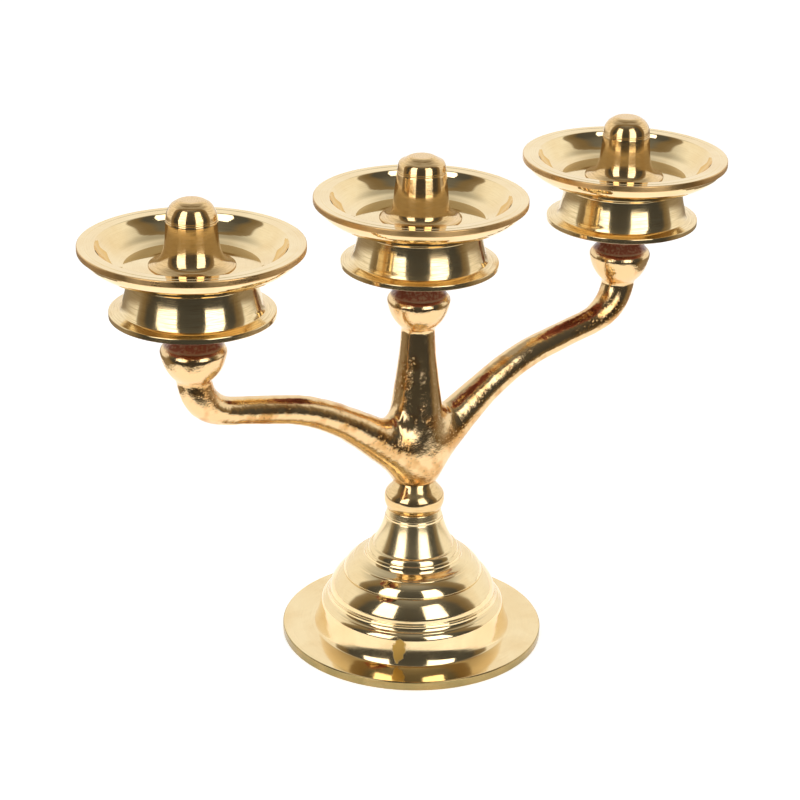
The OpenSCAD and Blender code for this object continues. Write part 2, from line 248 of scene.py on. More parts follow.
def eased(corners, arc_points=5):
    """An outline from corners (radius, height, ease): each corner is a quadratic arc that starts
    and ends its ease before and after it, and a plain point where the ease is 0."""
    c = np.array(corners, float)
    out = []
    for before, here, after in zip(np.roll(c, 1, 0), c, np.roll(c, -1, 0)):
        if here[2] == 0:
            out.append(here[None, :2])
            continue
        back, on = before[:2] - here[:2], after[:2] - here[:2]
        start = here[:2] + back * min(here[2] / np.hypot(*back), 0.49)
        end = here[:2] + on * min(here[2] / np.hypot(*on), 0.49)
        t = np.linspace(0, 1, arc_points)[:, None]
        out.append(start * (1 - t) ** 2 + 2 * here[:2] * t * (1 - t) + end * t ** 2)
    return np.vstack(out)


def held_flat(outline, margin=0.12, longest=2.5):
    """The outline with extra points just inside both ends of each long stretch and along it, so
    that smooth shading bends only at the corners."""
    out = []
    for a, b in zip(outline, np.roll(outline, -1, 0)):
        reach = np.hypot(*(b - a))
        out.append(a[None])
        if reach > 4 * margin and not (a[0] < 1e-6 and b[0] < 1e-6):
            between = np.linspace(margin / reach, 1 - margin / reach, 2 + int(reach / longest))
            out.append(a + (b - a) * between[:, None])
    return np.vstack(out)


def link_mesh(name, points, faces, material, uv=None):
    """A smooth-shaded object at the origin from points in mm and lists of corner numbers."""
    mesh = bpy.data.meshes.new(name)
    mesh.from_pydata((np.asarray(points) * mm).tolist(), [], faces)
    if uv is not None:
        layer = mesh.uv_layers.new(name="turning")
        layer.data.foreach_set("uv", np.asarray(uv, np.float32).ravel())
    mesh.polygons.foreach_set("use_smooth", np.ones(len(mesh.polygons), bool))
    mesh.materials.append(material)
    return put(name, mesh)


def turned(name, outline, material, centre=0.0, sides=192):
    """A turned piece: a closed outline of radius and height in mm, carried round the upright axis
    at x = centre. Points on the axis become one pole each. The UV map holds the turn, 0 to 1,
    and the distance along the outline in metres."""
    o = held_flat(np.asarray(outline, float))
    area = np.sum(o[:, 0] * np.roll(o[:, 1], -1) - np.roll(o[:, 0], -1) * o[:, 1])
    o = o if area > 0 else o[::-1]
    along = np.r_[0, np.cumsum(np.hypot(*np.diff(np.vstack([o, o[:1]]), axis=0).T))] * mm
    turn = np.linspace(0, 2 * np.pi, sides, endpoint=False)
    polar = o[:, 0] < 1e-6
    count = np.where(polar, 1, sides)
    first = np.r_[0, np.cumsum(count)[:-1]]
    points = np.vstack([
        np.column_stack([centre + r * np.cos(turn[:n]), r * np.sin(turn[:n]), np.full(n, z)])
        for (r, z), n in zip(o, count)])
    k = np.arange(sides)
    nxt = (k + 1) % sides
    faces, uv = [], []
    for i in range(len(o)):
        j = (i + 1) % len(o)
        lower_v, upper_v = along[i], along[i + 1]
        u0, u1, um = k / sides, (k + 1) / sides, (k + 0.5) / sides
        if polar[i] and polar[j]:
            continue
        a, b = first[i] + (0 if polar[i] else k), first[i] + (0 if polar[i] else nxt)
        c, d = first[j] + (0 if polar[j] else nxt), first[j] + (0 if polar[j] else k)
        low, high = np.full(sides, lower_v), np.full(sides, upper_v)
        if polar[i]:
            faces += np.column_stack([np.full(sides, first[i]), c, d]).tolist()
            uv.append(np.stack([np.c_[um, low], np.c_[u1, high], np.c_[u0, high]], 1).reshape(-1, 2))
        elif polar[j]:
            faces += np.column_stack([a, b, np.full(sides, first[j])]).tolist()
            uv.append(np.stack([np.c_[u0, low], np.c_[u1, low], np.c_[um, high]], 1).reshape(-1, 2))
        else:
            faces += np.column_stack([a, b, c, d]).tolist()
            uv.append(np.stack(
                [np.c_[u0, low], np.c_[u1, low], np.c_[u1, high], np.c_[u0, high]], 1).reshape(-1, 2))
    return link_mesh(name, points, faces, material, np.vstack(uv))


def face_middles(piece):
    """The middle of each face of a piece, in mm."""
    middles = np.zeros(len(piece.data.polygons) * 3)
    piece.data.polygons.foreach_get("center", middles)
    return middles.reshape(-1, 3) / mm


def give_faces(piece, material, chosen):
    """Gives the chosen faces of a piece a second material."""
    piece.data.materials.append(material)
    piece.data.polygons.foreach_set("material_index", chosen.astype(np.int32))


def every(size):
    """The scale of a pattern whose cells are about that many mm across."""
    return 1 / (size * mm)


def polished_brass(name, tone="#f3dcac", roughness=0.035, line_depth=0.3, line_gap=0.22, stretch=0.0,
                   streaks=0.1):
    """Turned yellow brass, buffed bright: a warm, near mirror metal whose tool lines, line_gap
    mm apart and line_depth microns deep, still draw the reflections out round the axis. The real
    lines are closer, and are drawn this far apart so that they show. Streaks, a few millimetres
    long round the axis, are a little darker and duller."""
    made, tree, shader = shaded(name, {
        "Metallic": 1.0, "Anisotropic": stretch, "Anisotropic Rotation": 0.25})
    place = add(tree, "ShaderNodeTexCoord", {}).outputs["Object"]
    turning = add(tree, "ShaderNodeUVMap", {}, uv_map="turning").outputs["UV"]
    way = add(tree, "ShaderNodeSeparateXYZ", {0: turning}).outputs
    handling = add(tree, "ShaderNodeTexNoise", {
        "Vector": place, "Scale": every(18.18), "Detail": 5.0, "Roughness": 0.6,
        "Distortion": 0.4}).outputs[0]
    fine_lines = add(tree, "ShaderNodeTexNoise", {
        "W": way["Y"], "Scale": every(line_gap), "Detail": 2.0, "Roughness": 0.7},
        noise_dimensions="1D").outputs[0]
    # The tool's chatter leaves broader waves, and a streak goes about a seventeenth of the way round
    wave_gap, streaks_round = 1.7, 17.0
    tool_waves = add(tree, "ShaderNodeTexNoise", {
        "W": way["Y"], "Scale": every(wave_gap), "Detail": 1.0}, noise_dimensions="1D").outputs[0]
    streak_place = add(tree, "ShaderNodeVectorMath", {
        0: turning, 1: (streaks_round, 0.8 * every(line_gap), 1.0)}, operation="MULTIPLY").outputs[0]
    drawn_out = add(tree, "ShaderNodeTexNoise", {
        "Vector": streak_place, "Scale": 1.0, "Detail": 3.0}).outputs[0]
    streak = add(tree, "ShaderNodeMapRange", {
        "Value": drawn_out, "From Min": 0.45, "From Max": 0.72,
        "To Min": 0.0, "To Max": streaks}).outputs[0]
    buffed = add(tree, "ShaderNodeMapRange", {
        "Value": handling, "From Min": 0.35, "From Max": 0.7,
        "To Min": roughness, "To Max": roughness * 2.1}).outputs[0]
    dulled = add(tree, "ShaderNodeMath", {
        0: streak, 1: 0.25, 2: buffed}, operation="MULTIPLY_ADD").outputs[0]
    tree.links.new(dulled, shader.inputs["Roughness"])
    shade = add(tree, "ShaderNodeMapRange", {
        "Value": handling, "From Min": 0.4, "From Max": 0.75, "To Min": 0.0, "To Max": 0.5}).outputs[0]
    tint = add(tree, "ShaderNodeMix", {
        "Factor": shade, 6: linear(tone), 7: linear("#e3bf83")}, data_type="RGBA").outputs[2]
    streaked = add(tree, "ShaderNodeMix", {
        "Factor": streak, 6: tint, 7: linear("#b58a4a")}, data_type="RGBA").outputs[2]
    tree.links.new(streaked, shader.inputs["Base Color"])
    waves = add(tree, "ShaderNodeBump", {
        "Height": tool_waves, "Strength": 1.0, "Distance": line_depth * 2.2e-6})
    lines = add(tree, "ShaderNodeBump", {
        "Height": fine_lines, "Strength": 1.0, "Distance": line_depth * 1e-6, "Normal": waves.outputs[0]})
    tree.links.new(lines.outputs[0], shader.inputs["Normal"])
    round_axis = add(tree, "ShaderNodeTangent", {}, direction_type="UV_MAP", uv_map="turning")
    tree.links.new(round_axis.outputs[0], shader.inputs["Tangent"])
    return made


brim_r = foot_high[0]
foot_top = foot_high[2]
plinth_r, brim_top = brim_r - 15.2, 4.0
mouth_r, stud_hole_r = 38.9, 4.5
foot_outline = np.vstack([
    eased([(mouth_r, 0, 0.6), (brim_r, 0, 0.5), (brim_r, brim_top, 0.6),
           (plinth_r + 1.2, brim_top - 0.05, 0)])[:-1],
    through([(plinth_r + 1.2, brim_top - 0.05), (plinth_r + 0.8, brim_top + 0.7), (plinth_r + 0.25, 6.1),
             (plinth_r - 0.25, 7.7), (plinth_r - 0.75, 9.5), (plinth_r - 1.2, 11.5), (plinth_r - 1.65, 13.9),
             (plinth_r - 1.95, 15.2), (plinth_r - 2.6, 16.2), (plinth_r - 3.5, 17.0)], 0.4),
    through([(plinth_r - 3.6, 17.2), (plinth_r - 4.4, 17.7), (plinth_r - 4.9, 18.6),
             (plinth_r - 5.05, 19.3)], 0.3),
    [(36.95, 19.5), (36.6, 19.75)],
    through([(36.65, 19.95), (36.75, 20.25), (36.5, 20.6), (36.35, 20.7)], 0.2),
    through([(36.3, 20.85), (36.05, 22.3), (35.4, 24.0), (34.3, 25.8), (33.0, 27.5), (31.6, 28.95),
             (30.95, 29.55)], 0.6),
    [(30.3, 29.65), (30.4, 30.0)],
    through([(30.5, 30.15), (29.75, 31.8), (28.6, 33.3), (27.3, 34.5), (26.6, 35.05)], 0.5),
    [(26.2, 35.25), (26.1, 35.5), (25.8, 35.7), (25.5, 35.6), (25.3, 35.8)],
    through([(25.1, 35.95), (24.2, 36.3), (23.0, 36.7), (22.1, 37.05), (21.7, 37.2)], 0.5),
    through([(21.6, 37.35), (21.2, 38.0), (20.9, 39.3), (20.5, 40.0)], 0.3),
    [(20.1, 40.05), (20.0, 40.3)],
    through([(19.95, 40.5), (19.5, 41.6), (18.9, 42.3), (18.4, 42.55)], 0.3),
    [(18.0, 42.5), (17.8, 42.8)],
    through([(17.6, 43.3), (16.2, 46.0), (14.6, 49.5), (13.4, 53.0), (12.75, 55.4)], 0.7),
    [(12.45, 55.6), (12.5, 56.0), (12.5, 56.6), (12.2, 56.8), (12.25, 57.2)],
    eased([(12.2, 57.3, 0), (11.7, foot_top, 0.4), (stud_hole_r, foot_top, 0.2), (stud_hole_r, 50, 0.2),
           (10.6, 50, 0.6), (10.6, 44, 1.5), (14.6, 40.6, 1.5), (18.3, 34.4, 1.5), (23.2, 32.8, 1.5),
           (27.0, 27, 1.5), (33.0, 17.6, 2), (38.0, 13.5, 2), (mouth_r, 0, 0)])[1:-1],
])
foot_brass = polished_brass("buffed_brass_foot", roughness=0.06, line_depth=0.7)
# A tan patch of braze, 6 mm wide and 12 mm high, that mends the plinth's wall
patch_turn, patch_r, patch_z = np.radians(-133), 41.2, 10.5
foot_tree = foot_brass.node_tree
foot_shader = foot_tree.nodes["Principled BSDF"]
foot_place = add(foot_tree, "ShaderNodeTexCoord", {}).outputs["Object"]
ragged = add(foot_tree, "ShaderNodeTexNoise", {
    "Vector": foot_place, "Scale": every(2.083), "Detail": 3.0}).outputs[0]
in_patch = add(foot_tree, "ShaderNodeMapping", {
    "Vector": foot_place, "Rotation": (0, 0, patch_turn), "Scale": (4 * mm, 3 * mm, 6 * mm),
    "Location": (patch_r * np.cos(patch_turn) * mm, patch_r * np.sin(patch_turn) * mm, patch_z * mm)},
    vector_type="TEXTURE")
from_middle = add(foot_tree, "ShaderNodeVectorMath", {
    0: in_patch.outputs[0]}, operation="LENGTH").outputs["Value"]
edge = add(foot_tree, "ShaderNodeMath", {0: from_middle, 1: ragged}, operation="ADD").outputs[0]
brazed = add(foot_tree, "ShaderNodeMapRange", {
    "Value": edge, "From Min": 1.3, "From Max": 1.5, "To Min": 1.0, "To Max": 0.0}).outputs[0]
plain_colour = foot_shader.inputs["Base Color"].links[0].from_socket
plain_roughness = foot_shader.inputs["Roughness"].links[0].from_socket
patched = add(foot_tree, "ShaderNodeMix", {
    0: brazed, 6: plain_colour, 7: linear("#c79f52")}, data_type="RGBA").outputs[2]
foot_tree.links.new(patched, foot_shader.inputs["Base Color"])
# The hollow neck is harder for the buff to reach, so it is duller than the bulge
foot_height = add(foot_tree, "ShaderNodeSeparateXYZ", {0: foot_place}).outputs["Z"]
duller = add(foot_tree, "ShaderNodeMapRange", {
    "Value": foot_height, "From Min": 41 * mm, "From Max": 44 * mm,
    "To Min": 0.0, "To Max": 0.1}).outputs[0]
neck_dull = add(foot_tree, "ShaderNodeMath", {0: plain_roughness, 1: duller}, operation="ADD").outputs[0]
patch_dull = add(foot_tree, "ShaderNodeMix", {0: brazed, 2: neck_dull, 3: 0.42}).outputs[0]
foot_tree.links.new(patch_dull, foot_shader.inputs["Roughness"])
foot = turned("foot_turned", foot_outline, foot_brass, sides=208)
# The brim's edge is left as the lathe cut it, duller than the buffed face; its darker, greyer tone is
# painted shade, standing in for the dark room that it reflects
brim_edge_brass_painted_dark = polished_brass(
    "lathe_finished_brim_edge_painted_dark", tone="#9a8a5c", roughness=0.14, line_depth=1.5, stretch=0.5, streaks=0.5)
middle = face_middles(foot)
give_faces(foot, brim_edge_brass_painted_dark, np.hypot(middle[:, 0], middle[:, 1]) > brim_r - 0.3)
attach(foot, "foot")
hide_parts("foot")

# ---------------------------------------------------------------- knop
# A small brass bicone turned from bar, clamped between the foot and the branch by the stud that
# runs up through it. Its lower edge is rounded over by the buff.
knop_low, knop_high = (np.array(c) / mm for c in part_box("knop"))
knop_z, knop_top = knop_low[2], knop_high[2]
knop_outline = np.vstack([
    [(stud_hole_r, knop_z)],
    through([(10.9, knop_z), (11.8, knop_z + 0.5), (12.6, knop_z + 1.8), (13.05, knop_z + 3.6),
             (13.1, knop_z + 5.4), (12.8, knop_z + 7.0), (11.9, knop_z + 8.5), (10.5, knop_z + 10.1),
             (9.2, knop_z + 11.8), (8.45, knop_z + 13.0), (8.3, knop_top)], 0.4),
    [(stud_hole_r, knop_top)],
])
knop_brass = polished_brass(
    "buffed_brass_knop", tone="#eccd98", roughness=0.07, line_depth=1.6, streaks=0.45)
knop = turned("knop_turned", knop_outline, knop_brass)
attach(knop, "foot")
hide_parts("knop")

# ---------------------------------------------------------------- foot stud, washer and nut
# A steel rod with a rolled thread, a plain washer and a hexagon nut, out of sight in the foot.
# The thread is a ridge that climbs one pitch a turn.

# Drawn carbon steel, cool and grey beside the brass, with a dullness that wanders every 2 to 3 mm
steel, steel_tree, steel_shader = shaded("bright_steel", {"Base Color": linear("#b9b6ae"), "Metallic": 1.0})
steel_place = add(steel_tree, "ShaderNodeTexCoord", {}).outputs["Object"]
steel_mottle = add(steel_tree, "ShaderNodeTexNoise", {
    "Vector": steel_place, "Scale": every(2.381), "Detail": 4.0}).outputs[0]
steel_dull = add(steel_tree, "ShaderNodeMapRange", {
    "Value": steel_mottle, "To Min": 0.22, "To Max": 0.42}).outputs[0]
steel_tree.links.new(steel_dull, steel_shader.inputs["Roughness"])
steel_grain = add(steel_tree, "ShaderNodeBump", {
    "Height": steel_mottle, "Strength": 0.6, "Distance": 4e-6})
steel_tree.links.new(steel_grain.outputs[0], steel_shader.inputs["Normal"])


def grid_piece(name, points, material):
    """A closed tube from a grid of points, rows up and columns round, with a pole at each end."""
    rows, sides = points.shape[:2]
    k = np.arange(sides)
    nxt = (k + 1) % sides
    flat = np.vstack([points.reshape(-1, 3), points[0].mean(0)[None], points[-1].mean(0)[None]])
    base = np.arange(rows - 1)[:, None] * sides
    quads = np.stack([base + k, base + nxt, base + sides + nxt, base + sides + k], -1).reshape(-1, 4)
    foot_pole, head_pole = rows * sides, rows * sides + 1
    bottom = np.column_stack([np.full(sides, foot_pole), nxt, k])
    top = np.column_stack([np.full(sides, head_pole), (rows - 1) * sides + k, (rows - 1) * sides + nxt])
    return link_mesh(name, flat, quads.tolist() + bottom.tolist() + top.tolist(), material)


def threaded_rod(name, node, pitch, material):
    """A rod in the node's place: its radius follows a triangle wave of the height less the turn,
    times the pitch, and draws in over the first and last millimetre."""
    low, high = (np.array(c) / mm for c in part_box(node))
    centre, radius, length = (low[0] + high[0]) / 2, (high[0] - low[0]) / 2, high[2] - low[2]
    depth = 0.54 * pitch
    z = np.linspace(0, length, int(length / (pitch / 9)))[:, None]
    turn = np.linspace(0, 2 * np.pi, 40, endpoint=False)[None]
    climb = (z / pitch - turn / (2 * np.pi)) % 1.0
    ridge = np.clip(1.35 * (1 - 2 * np.abs(climb - 0.5)) - 0.15, 0, 1)
    taper = np.minimum(np.minimum(z, length - z) / 0.8, 1.0)
    r = (radius - depth + depth * ridge) * (0.84 + 0.16 * taper)
    points = np.stack([centre + r * np.cos(turn), r * np.sin(turn), low[2] + z + 0 * turn], -1)
    rod = grid_piece(name, points, material)
    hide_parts(node)
    return rod


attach(threaded_rod("foot_stud_threaded", "foot_stud", 1.25, steel), "foot")

washer_low, washer_high = (np.array(c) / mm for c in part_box("foot_washer"))
washer = turned("foot_washer_pressed", eased([
    (stud_hole_r, washer_low[2], 0.15), (washer_high[0], washer_low[2], 0.3),
    (washer_high[0], washer_high[2], 0.1), (stud_hole_r, washer_high[2], 0.1)]), steel, sides=96)
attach(washer, "foot")
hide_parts("foot_washer")

nut_low, nut_high = (np.array(c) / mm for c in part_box("foot_nut"))
nut_flat = nut_high[1]
nut_turn = np.linspace(0, 2 * np.pi, 144, endpoint=False)
nut_hexagon = nut_flat / np.cos(((nut_turn - np.pi / 2 + np.pi / 6) % (np.pi / 3)) - np.pi / 6)
nut_rise = np.array([0, 0, 0.25, 0.8, 1.4, 3.2, 5.1, 5.7, 6.25, 6.5, 6.5])
nut_cone = np.array([3.9, 5.6, 6.15, 6.9, 7.6, 7.6, 7.6, 6.9, 6.15, 5.6, 3.9])
nut_radius = np.minimum(nut_hexagon[None], nut_cone[:, None])
nut_share = (nut_rise / nut_rise[-1])[:, None]
nut_height = nut_low[2] + nut_share * (nut_high[2] - nut_low[2]) + 0 * nut_radius
nut_skin = np.stack([nut_radius * np.cos(nut_turn), nut_radius * np.sin(nut_turn), nut_height], -1)
nut_rows, nut_sides = nut_skin.shape[:2]
nut_k = np.arange(nut_sides)
nut_next = (nut_k + 1) % nut_sides
nut_base = np.arange(nut_rows)[:, None] * nut_sides
nut_over = (np.arange(nut_rows)[:, None] + 1) % nut_rows * nut_sides
nut_faces = np.stack([nut_base + nut_k, nut_base + nut_next, nut_over + nut_next, nut_over + nut_k], -1)
nut = link_mesh("foot_nut_hexagon", nut_skin.reshape(-1, 3), nut_faces.reshape(-1, 4).tolist(), steel)
nut_edges = nut.modifiers.new("crisp_edges", "BEVEL")
nut_edges.width = 0.12 * mm
nut_edges.segments = 1
nut_edges.limit_method = "ANGLE"
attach(nut, "foot")
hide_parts("foot_nut")

# ---------------------------------------------------------------- branch
# One sand casting in yellow brass: a tapering column, two S-shaped arms that run out of its
# foot, and three balls with spigots. It is fettled and buffed, so that the parting line, small
# pits and an uneven skin still show.
branch_low, branch_high = (np.array(c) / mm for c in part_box("branch"))
branch_z, seat_z = branch_low[2], branch_high[2]
ball_r = 13.5
foot_thread_r, foot_thread_depth = 4.05, 18
reach = branch_high[0] - ball_r
ball_z = seat_z - 31.5


def curve_of_four(a, b, c, d, steps):
    """Points of the cubic curve from a to d that leaves towards b and comes in from c."""
    t = np.linspace(0, 1, steps)[:, None]
    a, b, c, d = (np.array(p, float) for p in (a, b, c, d))
    return a * (1 - t) ** 3 + 3 * b * t * (1 - t) ** 2 + 3 * c * t * t * (1 - t) + d * t ** 3


def polygon_distance(r, z, outline):
    """Signed distance, minus inside, of points to a closed outline in the radius and height plane."""
    a, b = outline, np.roll(outline, -1, 0)
    best = np.full(r.shape, 1e9)
    inside = np.zeros(r.shape, bool)
    for (r0, z0), (r1, z1) in zip(a, b):
        dr, dz = r1 - r0, z1 - z0
        t = np.clip(((r - r0) * dr + (z - z0) * dz) / (dr * dr + dz * dz + 1e-12), 0, 1)
        best = np.minimum(best, (r - r0 - t * dr) ** 2 + (z - z0 - t * dz) ** 2)
        if dz != 0:
            crosses = ((z0 > z) != (z1 > z)) & (r < (z - z0) * dr / dz + r0)
            inside ^= crosses
    return np.where(inside, -1, 1) * np.sqrt(best)


def merged(a, b, blend):
    """The lesser of two distances, rounded over where they differ by less than the blend."""
    near = np.clip(blend - np.abs(a - b), 0, None) / blend
    return np.minimum(a, b) - near * near * blend / 4


arm_path = np.vstack([
    curve_of_four((3, 84), (25, 100.6), (44, 115.8), (66, 120.9), 30),
    curve_of_four((66, 120.9), (75, 122.9), (83, 124.7), (reach - 18.5, 126.2), 14)[1:],
    curve_of_four((reach - 18.5, 126.2), (reach - 8.5, 128.2), (reach - 1.2, 133), (reach, 144.5), 36)[1:],
    [(reach, 150)],
])
arm_radius = np.interp(arm_path[:, 0], [3, 14, 26, 36, 50, 66, 88, 97, 104, 110],
                       [9.6, 9.4, 8.0, 7.0, 6.5, 6.1, 5.8, 6.0, 6.8, 7.25])
column_outline = np.vstack([
    [(0, branch_z)],
    through([(8.3, branch_z), (8.9, branch_z + 2.2), (9.9, branch_z + 6), (11.0, branch_z + 11),
             (11.8, branch_z + 17), (12.0, branch_z + 23), (11.5, branch_z + 30), (10.3, branch_z + 40),
             (9.0, branch_z + 50), (8.0, branch_z + 58), (7.3, branch_z + 69), (7.15, branch_z + 73)], 1.5),
    [(0, branch_z + 73)],
])
ball_outline = np.vstack([
    [(0, -13.0)],
    through([(4.0, -13.0), (6.6, -12.4), (8.6, -10.9), (10.5, -8.6), (12.1, -5.6), (13.1, -2.4),
             (ball_r, -0.6), (13.4, 0.7), (13.1, 1.3)], 1.2),
    [(12.6, 1.9), (9.4, 5.3), (8.4, 6.2), (8.0, 7.4), (8.0, 31.5), (0, 31.5)],
]) + (0, ball_z)


def casting(p):
    """Signed distance in mm to the branch: the column and balls as turned outlines and the arm as
    a rounded cone along each stretch of its path, melted together, with the skin's slow waves
    and the parting line's low ridge added, and the foot stud's hole taken away."""
    far_off, arm_melt, ball_melt = 30.0, 9.0, 1.3
    wave_rise, seam_rise, seam_width = 0.04, 0.2, 0.55
    x, y, z = p[:, 0], p[:, 1], p[:, 2]
    out = np.abs(x)
    from_axis = np.hypot(x, y)
    d = np.full(len(p), far_off)
    near = (from_axis < 40) & (z < branch_z + 90)
    d[near] = polygon_distance(from_axis[near], z[near], column_outline)
    arm = np.full(len(p), far_off)
    height = np.interp(out, arm_path[:, 0], arm_path[:, 1])
    near = (np.abs(y) < 24) & (np.abs(z - height) < 34) & (z < 158)
    q = np.column_stack([out[near], z[near]])
    side = y[near] ** 2
    best = np.full(len(q), far_off)
    for a, b, ra, rb in zip(arm_path[:-1], arm_path[1:], arm_radius[:-1], arm_radius[1:]):
        run = b - a
        t = np.clip((q - a) @ run / (run @ run), 0, 1)
        gap = q - a - t[:, None] * run
        best = np.minimum(best, np.sqrt((gap ** 2).sum(1) + side) - (ra + t * (rb - ra)))
    arm[near] = best
    d = merged(d, arm, arm_melt)
    for centre in (0.0, reach):
        to_ball = np.hypot(out - centre, y)
        near = (to_ball < 22) & (z > ball_z - 22)
        ball = np.full(len(p), far_off)
        ball[near] = polygon_distance(to_ball[near], z[near], ball_outline)
        d = merged(d, ball, ball_melt)
    waves = (np.sin(0.33 * x + 1.7 * np.sin(0.21 * z)) * np.sin(0.41 * y + 0.29 * z)
             + 0.6 * np.sin(0.83 * x - 0.47 * z + 1.1) * np.sin(0.71 * z + 0.9 * y)
             + 0.35 * np.sin(1.7 * x + 0.9 * z) * np.sin(1.45 * y - 1.3 * z + 0.6))
    d = d + wave_rise * waves * (z < ball_z + 1)
    seam_turn = np.where(from_axis < 16, np.radians(22), 0.0)
    off_seam = np.abs(y * np.cos(seam_turn) - x * np.sin(seam_turn))
    broken = 0.55 + 0.45 * np.sin(0.9 * z + 0.6 * x) * np.sin(0.37 * z - 0.5 * x + 1.0)
    d = d - seam_rise * broken * np.exp(-(off_seam / seam_width) ** 2) * (z < ball_z + 1)
    hole = np.maximum(from_axis - foot_thread_r, z - (branch_z + foot_thread_depth))
    d = np.maximum(d, -hole)
    d = np.maximum(d, branch_z - z)
    return np.maximum(d, z - seat_z)


def skin_of(distance, low, high, step):
    """The zero surface of a distance: one point for each grid cell that it passes through, at the
    mean of its crossings of the cell's edges, joined by a face across each crossed edge, then
    moved on to the surface along the distance's slope."""
    axes = [np.arange(a, b + step, step) for a, b in zip(low, high)]
    shape = tuple(len(a) for a in axes)
    coarse = np.stack(np.meshgrid(*axes, indexing="ij"), -1).reshape(-1, 3)
    field = distance(coarse).reshape(shape)
    inside = field < 0
    total = np.zeros(tuple(n - 1 for n in shape) + (3,))
    count = np.zeros(tuple(n - 1 for n in shape))
    grid = coarse.reshape(shape + (3,))
    crossed = []
    for axis in range(3):
        a = [slice(None)] * 3
        b = [slice(None)] * 3
        a[axis], b[axis] = slice(None, -1), slice(1, None)
        a, b = tuple(a), tuple(b)
        cut = inside[a] != inside[b]
        share = np.where(cut, field[a] / np.where(cut, field[a] - field[b], 1), 0)
        point = grid[a] + share[..., None] * (grid[b] - grid[a])
        point[~cut] = 0
        crossed.append((cut, inside[a]))
        others = [i for i in range(3) if i != axis]
        for first in (0, 1):
            for second in (0, 1):
                take = [slice(None)] * 3
                for other, late in zip(others, (first, second)):
                    take[other] = slice(1, None) if late else slice(None, -1)
                total += point[tuple(take)]
                count += cut[tuple(take)]
    used = count > 0
    number = np.full(used.shape, -1)
    number[used] = np.arange(used.sum())
    points = total[used] / count[used][:, None]
    faces = []
    for axis in range(3):
        cut, starts_in = crossed[axis]
        j, k = [i for i in range(3) if i != axis]
        where = np.argwhere(cut)
        where = where[(where[:, j] > 0) & (where[:, k] > 0)]
        back_j, back_k = np.eye(3, dtype=int)[j], np.eye(3, dtype=int)[k]
        ring = [where - back_j - back_k, where - back_k, where, where - back_j]
        quad = np.column_stack([number[tuple(cell.T)] for cell in ring])
        outward = starts_in[tuple(where.T)]
        if axis == 1:
            outward = ~outward
        quad[~outward] = quad[~outward][:, ::-1]
        faces.append(quad)
    nudge = 0.02
    for _ in range(3):
        here = distance(points)
        slope = np.column_stack([
            (distance(points + nudge * e) - distance(points - nudge * e)) / (2 * nudge) for e in np.eye(3)])
        move = slope * (here / np.maximum((slope ** 2).sum(1), 0.3))[:, None]
        limit = np.minimum(1, 0.3 * step / np.maximum(np.linalg.norm(move, axis=1), 1e-9))
        points = points - move * limit[:, None]
    return points, np.vstack(faces)


casting_step = 0.72
cast_points, cast_faces = skin_of(
    casting, (-reach - ball_r - 1.3, -ball_r - 1.2, branch_z - 1.3),
    (reach + ball_r + 1.3, ball_r + 1.2, seat_z + 1.3), casting_step)

# Yellow brass from a sand mould, buffed by hand: warmer and softer than the turned pieces, with its
# highlights broken up by grain, swells and pits
cast_brass, cast_tree, cast_shader = shaded("buffed_cast_brass", {"Metallic": 1.0})
cast_place = add(cast_tree, "ShaderNodeTexCoord", {}).outputs["Object"]
# Pits of 0.3 to 1 mm where sand grains and gas left the skin open, in patches
pit_cells = add(cast_tree, "ShaderNodeTexVoronoi", {
    "Vector": cast_place, "Scale": every(1.389)}).outputs["Distance"]
pit_patches = add(cast_tree, "ShaderNodeTexNoise", {
    "Vector": cast_place, "Scale": every(16.13), "Detail": 3.0, "Roughness": 0.6}).outputs[0]
pits = add(cast_tree, "ShaderNodeMapRange", {
    "Value": pit_cells, "From Min": 0.1, "From Max": 0.34, "To Min": 1.0, "To Max": 0.0},
    interpolation_type="SMOOTHSTEP").outputs[0]
patchy = add(cast_tree, "ShaderNodeMapRange", {
    "Value": pit_patches, "From Min": 0.53, "From Max": 0.66}).outputs[0]
open_skin = add(cast_tree, "ShaderNodeMath", {0: pits, 1: patchy}, operation="MULTIPLY").outputs[0]
# An uneven skin, 2 to 5 mm from swell to swell, under the finer grain that the buff has left
uneven = add(cast_tree, "ShaderNodeTexNoise", {
    "Vector": cast_place, "Scale": every(4.348), "Detail": 2.0, "Roughness": 0.5}).outputs[0]
grain = add(cast_tree, "ShaderNodeTexNoise", {
    "Vector": cast_place, "Scale": every(1.0), "Detail": 3.0, "Roughness": 0.6}).outputs[0]
swell = add(cast_tree, "ShaderNodeBump", {"Height": uneven, "Strength": 1.0, "Distance": 60e-6})
grained = add(cast_tree, "ShaderNodeBump", {
    "Height": grain, "Strength": 1.0, "Distance": 80e-6, "Normal": swell.outputs[0]})
pitted = add(cast_tree, "ShaderNodeBump", {
    "Height": open_skin, "Strength": 1.0, "Distance": 110e-6, "Normal": grained.outputs[0]})
# Each ball's top is faced off in the lathe, which leaves rings, and carries a painted reflection of the red
# primer in the cup above it
cast_axes = add(cast_tree, "ShaderNodeSeparateXYZ", {0: cast_place}).outputs
cast_height = cast_axes["Z"]
ring_gap = 0.25
facing_rings = add(cast_tree, "ShaderNodeTexNoise", {
    "W": cast_height, "Scale": every(ring_gap), "Detail": 2.0}, noise_dimensions="1D").outputs[0]
faced = add(cast_tree, "ShaderNodeMapRange", {
    "Value": cast_height, "From Min": (ball_z + 0.7) * mm, "From Max": (ball_z + 2.0) * mm}).outputs[0]
ring_height = add(cast_tree, "ShaderNodeMath", {0: facing_rings, 1: faced}, operation="MULTIPLY").outputs[0]
ringed = add(cast_tree, "ShaderNodeBump", {
    "Height": ring_height, "Strength": 1.0, "Distance": 50e-6, "Normal": pitted.outputs[0]})
cast_tree.links.new(ringed.outputs[0], cast_shader.inputs["Normal"])
